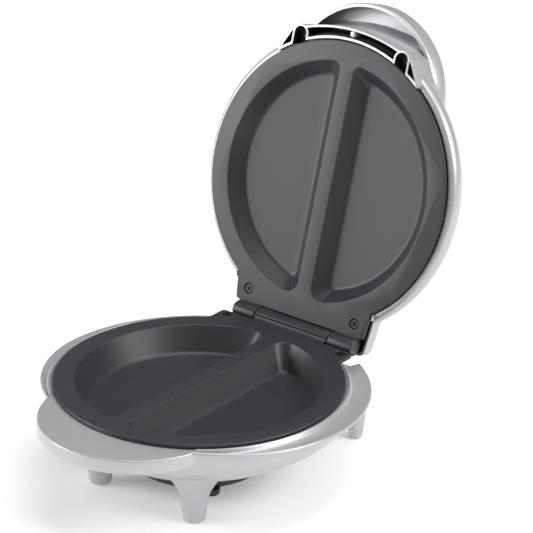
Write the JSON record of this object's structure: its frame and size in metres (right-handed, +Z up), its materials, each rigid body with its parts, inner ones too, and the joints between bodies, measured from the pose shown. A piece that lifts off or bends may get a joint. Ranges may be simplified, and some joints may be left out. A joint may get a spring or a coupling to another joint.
{
  "type": "omelette maker",
  "caption": "Electric omelette maker: round hinged lid over a base on moulded feet, with half-moon wells in both non-stick plates.",
  "frame": {"origin": "middle of the open appliance's box, on the table under its feet", "axes": "+Z up, -Y towards the front handle, +X to the right seen from the front"},
  "size_m": [0.237, 0.3497, 0.2982],
  "materials": {
    "silver_shell": "satin silver-painted moulding",
    "nonstick": "matt dark non-stick coating over cast metal",
    "black_plastic": "fine-grained black moulding",
    "steel": "rolled sheet and drawn tube",
    "dark_steel": "blackened screw",
    "rubber": "soft grey pad",
    "ceramic": "glazed insulator",
    "red_lens": "clear red",
    "green_lens": "clear green"
  },
  "bodies": {
    "base": {"lower_casing": "silver_shell", "lower_plate": "nonstick", "lower_element": "steel", "lower_heat_shield": "steel", "terminal_block": "ceramic", "lower_thermal_fuse": "ceramic", "bottom_cover": "black_plastic", "cord_gland": "black_plastic", "hinge_pin": "steel", "foot_pad_front_left": "rubber", "foot_pad_front_right": "rubber", "foot_pad_rear_left": "rubber", "foot_pad_rear_right": "rubber", "cover_screw_1": "dark_steel", "cover_screw_2": "dark_steel", "cover_screw_3": "dark_steel", "lower_element_clamp_left": "steel", "lower_element_clamp_right": "steel", "lower_element_clamp_front": "steel", "lower_plate_screw_left": "dark_steel", "lower_plate_screw_right": "dark_steel"},
    "lid": {"upper_casing": "silver_shell", "lid_handle": "silver_shell", "upper_plate": "nonstick", "upper_element": "steel", "upper_heat_shield": "steel", "thermostat": "ceramic", "upper_thermal_fuse": "ceramic", "lamp_holder": "black_plastic", "power_lens": "red_lens", "ready_lens": "green_lens", "upper_element_clamp_left": "steel", "upper_element_clamp_right": "steel", "upper_element_clamp_front": "steel", "upper_plate_screw_left": "dark_steel", "handle_screw_left": "dark_steel", "upper_plate_screw_right": "dark_steel", "handle_screw_right": "dark_steel"}
  },
  "joints": [
    {"name": "lid_hinge", "type": "hinge", "parent": "base", "child": "lid", "pos_m": [0, 0.071, 0.07326], "axis": [1, 0, 0], "range_deg": [0, 106]}
  ]
}
